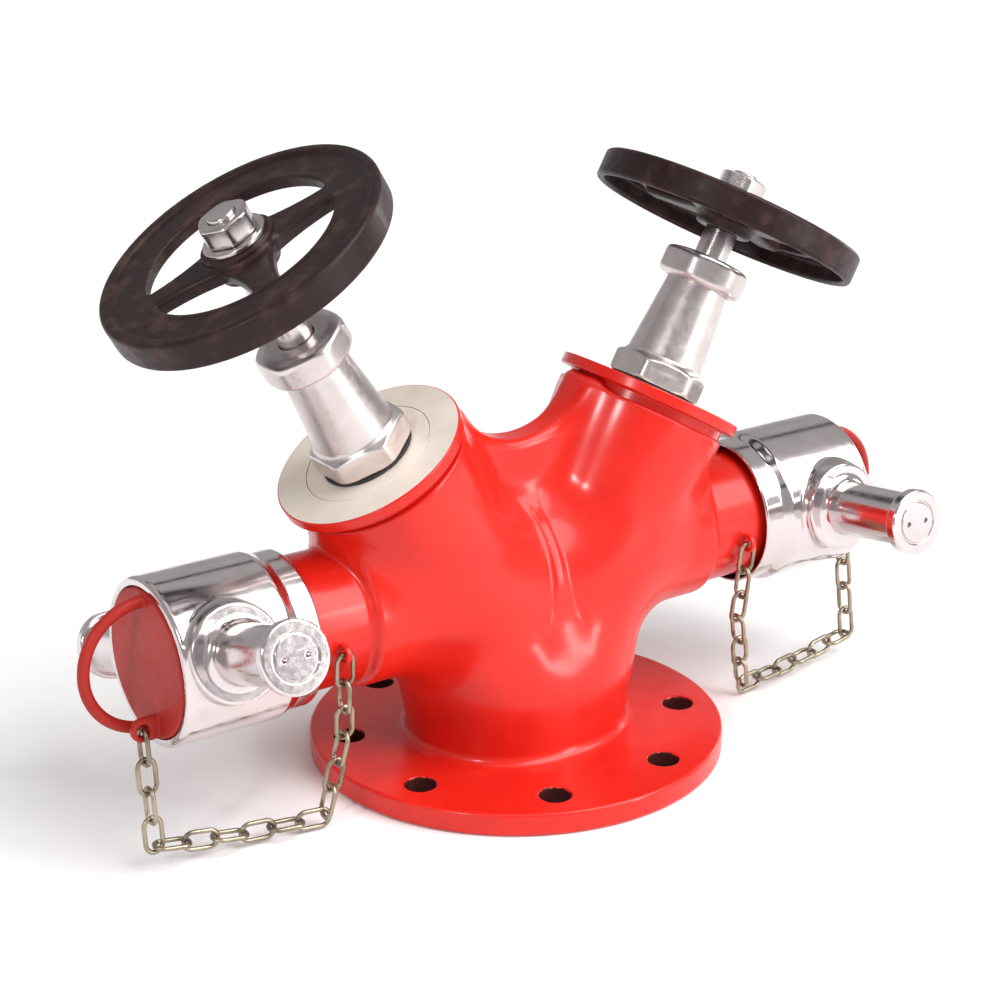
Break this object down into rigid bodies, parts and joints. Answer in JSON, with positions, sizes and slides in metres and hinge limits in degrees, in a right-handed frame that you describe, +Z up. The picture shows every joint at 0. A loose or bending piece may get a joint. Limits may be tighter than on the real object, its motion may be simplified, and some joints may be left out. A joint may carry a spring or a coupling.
{
  "type": "twin-outlet landing valve",
  "caption": "Flanged fire hydrant head with oblique screw-down valves, handwheels, side outlets with spring-lug couplings and chained blank caps.",
  "frame": {"origin": "centre of the inlet flange's lower face", "axes": "+X along the outlets towards the closed valve's side, -Y towards the viewer and the front lugs, +Z up out of the flange"},
  "size_m": [0.499, 0.22, 0.3321],
  "materials": {
    "red_paint": "glossy fire-red paint over a smooth casting",
    "red_cap": "satin red moulding",
    "black_enamel": "black enamel, slightly glossy, over a sand casting",
    "gunmetal": "machined gunmetal",
    "bright_steel": "turned bright steel",
    "plated_casting": "pale machined and plated casting",
    "polished_metal": "polished and lightly brushed",
    "spring_steel": "drawn wire",
    "chain_wire": "dull passivated zinc on wire",
    "black_rubber": "matt rubber"
  },
  "bodies": {
    "casting": {"body": "red_paint", "left_seat_ring": "gunmetal", "left_bonnet": "plated_casting", "left_bonnet_gasket": "black_rubber", "left_gland_packing": "black_rubber", "left_gland_follower": "gunmetal", "left_gland_nut": "plated_casting", "left_coupling": "polished_metal", "left_coupling_gasket": "black_rubber", "left_spring_front": "spring_steel", "left_spring_rear": "spring_steel", "right_seat_ring": "gunmetal", "right_bonnet": "plated_casting", "right_bonnet_gasket": "black_rubber", "right_gland_packing": "black_rubber", "right_gland_follower": "gunmetal", "right_gland_nut": "plated_casting", "right_coupling": "polished_metal", "right_coupling_gasket": "black_rubber", "right_spring_front": "spring_steel", "right_spring_rear": "spring_steel"},
    "left_valve": {"left_clack": "gunmetal", "left_clack_washer": "black_rubber", "left_clack_nut": "gunmetal"},
    "left_spindle": {"left_stem": "bright_steel", "left_handwheel": "black_enamel", "left_wheel_washer": "bright_steel", "left_wheel_nut": "bright_steel"},
    "left_lug_front": {"left_lug_front": "polished_metal"},
    "left_lug_rear": {"left_lug_rear": "polished_metal"},
    "left_cap": {"left_cap": "red_cap", "left_cap_seal": "black_rubber"},
    "left_links_1": {"left_chain_1": "chain_wire"},
    "left_links_2": {"left_chain_2": "chain_wire"},
    "left_links_3": {"left_chain_3": "chain_wire"},
    "left_links_4": {"left_chain_4": "chain_wire"},
    "left_links_5": {"left_chain_5": "chain_wire"},
    "right_valve": {"right_clack": "gunmetal", "right_clack_washer": "black_rubber", "right_clack_nut": "gunmetal"},
    "right_spindle": {"right_stem": "bright_steel", "right_handwheel": "black_enamel", "right_wheel_washer": "bright_steel", "right_wheel_nut": "bright_steel"},
    "right_lug_front": {"right_lug_front": "polished_metal"},
    "right_lug_rear": {"right_lug_rear": "polished_metal"},
    "right_cap": {"right_cap": "red_cap", "right_cap_seal": "black_rubber"},
    "right_links_1": {"right_chain_1": "chain_wire"},
    "right_links_2": {"right_chain_2": "chain_wire"},
    "right_links_3": {"right_chain_3": "chain_wire"},
    "right_links_4": {"right_chain_4": "chain_wire"},
    "right_links_5": {"right_chain_5": "chain_wire"}
  },
  "joints": [
    {"name": "left_valve_lift", "type": "slide", "parent": "casting", "child": "left_valve", "axis": [-0.5, 0, 0.866], "range_m": [-0.027, 0]},
    {"name": "left_wheel_turn", "type": "hinge", "parent": "left_valve", "child": "left_spindle", "pos_m": [-0.0885, 0, 0.18029], "axis": [-0.5, 0, 0.866], "range_deg": [-1620, 0]},
    {"name": "left_lug_front_pull", "type": "slide", "parent": "casting", "child": "left_lug_front", "axis": [0, -0.9511, 0.309], "range_m": [0, 0.007], "stiffness_N_per_m": 1500, "springref_m": -0.004, "deforming": ["left_spring_front"]},
    {"name": "left_lug_rear_pull", "type": "slide", "parent": "casting", "child": "left_lug_rear", "axis": [0, 0.9511, -0.309], "range_m": [0, 0.007], "stiffness_N_per_m": 1500, "springref_m": -0.004, "deforming": ["left_spring_rear"]},
    {"name": "left_cap_pull", "type": "slide", "parent": "casting", "child": "left_cap", "axis": [-1, 0, 0], "range_m": [0, 0.045]},
    {"name": "left_chain_bend_1", "type": "hinge", "parent": "casting", "child": "left_links_1", "pos_m": [-0.127, -0.038, 0.096], "axis": [0, 1, 0], "range_deg": [-0.5, 19.88]},
    {"name": "left_chain_bend_2", "type": "hinge", "parent": "left_links_1", "child": "left_links_2", "pos_m": [-0.12546, -0.03263, 0.05195], "axis": [0, 1, 0], "range_deg": [-7.38, 0.5]},
    {"name": "left_chain_bend_3", "type": "hinge", "parent": "left_links_2", "child": "left_links_3", "pos_m": [-0.1352, -0.02691, 0.00612], "axis": [0, 1, 0], "range_deg": [-13.97, 0.5]},
    {"name": "left_chain_bend_4", "type": "hinge", "parent": "left_links_3", "child": "left_links_4", "pos_m": [-0.17647, -0.02188, 0.00756], "axis": [0, 1, 0], "range_deg": [-0.91, 0.5]},
    {"name": "left_chain_bend_5", "type": "hinge", "parent": "left_links_4", "child": "left_links_5", "pos_m": [-0.22309, -0.01616, 0.01224], "axis": [0, 1, 0], "range_deg": [-19.17, 0.5]},
    {"name": "right_valve_lift", "type": "slide", "parent": "casting", "child": "right_valve", "axis": [0.5, 0, 0.866], "range_m": [0, 0.027]},
    {"name": "right_wheel_turn", "type": "hinge", "parent": "right_valve", "child": "right_spindle", "pos_m": [0.0885, 0, 0.18029], "axis": [0.5, 0, 0.866], "range_deg": [0, 1620]},
    {"name": "right_lug_front_pull", "type": "slide", "parent": "casting", "child": "right_lug_front", "axis": [0, -0.9903, 0.1392], "range_m": [0, 0.007], "stiffness_N_per_m": 1500, "springref_m": -0.004, "deforming": ["right_spring_front"]},
    {"name": "right_lug_rear_pull", "type": "slide", "parent": "casting", "child": "right_lug_rear", "axis": [0, 0.9903, -0.1392], "range_m": [0, 0.007], "stiffness_N_per_m": 1500, "springref_m": -0.004, "deforming": ["right_spring_rear"]},
    {"name": "right_cap_pull", "type": "slide", "parent": "casting", "child": "right_cap", "axis": [1, 0, 0], "range_m": [0, 0.045]},
    {"name": "right_chain_bend_1", "type": "hinge", "parent": "casting", "child": "right_links_1", "pos_m": [0.127, -0.038, 0.096], "axis": [0, 1, 0], "range_deg": [-19.88, 0.5]},
    {"name": "right_chain_bend_2", "type": "hinge", "parent": "right_links_1", "child": "right_links_2", "pos_m": [0.12546, -0.03263, 0.05195], "axis": [0, 1, 0], "range_deg": [-0.5, 7.38]},
    {"name": "right_chain_bend_3", "type": "hinge", "parent": "right_links_2", "child": "right_links_3", "pos_m": [0.1352, -0.02691, 0.00612], "axis": [0, 1, 0], "range_deg": [-0.5, 13.97]},
    {"name": "right_chain_bend_4", "type": "hinge", "parent": "right_links_3", "child": "right_links_4", "pos_m": [0.17647, -0.02188, 0.00756], "axis": [0, 1, 0], "range_deg": [-0.5, 0.91]},
    {"name": "right_chain_bend_5", "type": "hinge", "parent": "right_links_4", "child": "right_links_5", "pos_m": [0.22309, -0.01616, 0.01224], "axis": [0, 1, 0], "range_deg": [-0.5, 19.17]}
  ],
  "couplings": [
    {"joint": "left_valve_lift", "follows": "left_wheel_turn", "m_per_rad": 0.00095493},
    {"joint": "left_chain_bend_1", "follows": "left_cap_pull", "rad_per_m": 7.5159},
    {"joint": "left_chain_bend_2", "follows": "left_cap_pull", "rad_per_m": -2.6668},
    {"joint": "left_chain_bend_3", "follows": "left_cap_pull", "rad_per_m": -5.2246},
    {"joint": "left_chain_bend_4", "follows": "left_cap_pull", "rad_per_m": -0.15902},
    {"joint": "left_chain_bend_5", "follows": "left_cap_pull", "rad_per_m": -7.2402},
    {"joint": "right_valve_lift", "follows": "right_wheel_turn", "m_per_rad": 0.00095493},
    {"joint": "right_chain_bend_1", "follows": "right_cap_pull", "rad_per_m": -7.5159},
    {"joint": "right_chain_bend_2", "follows": "right_cap_pull", "rad_per_m": 2.6668},
    {"joint": "right_chain_bend_3", "follows": "right_cap_pull", "rad_per_m": 5.2246},
    {"joint": "right_chain_bend_4", "follows": "right_cap_pull", "rad_per_m": 0.15902},
    {"joint": "right_chain_bend_5", "follows": "right_cap_pull", "rad_per_m": 7.2402}
  ]
}
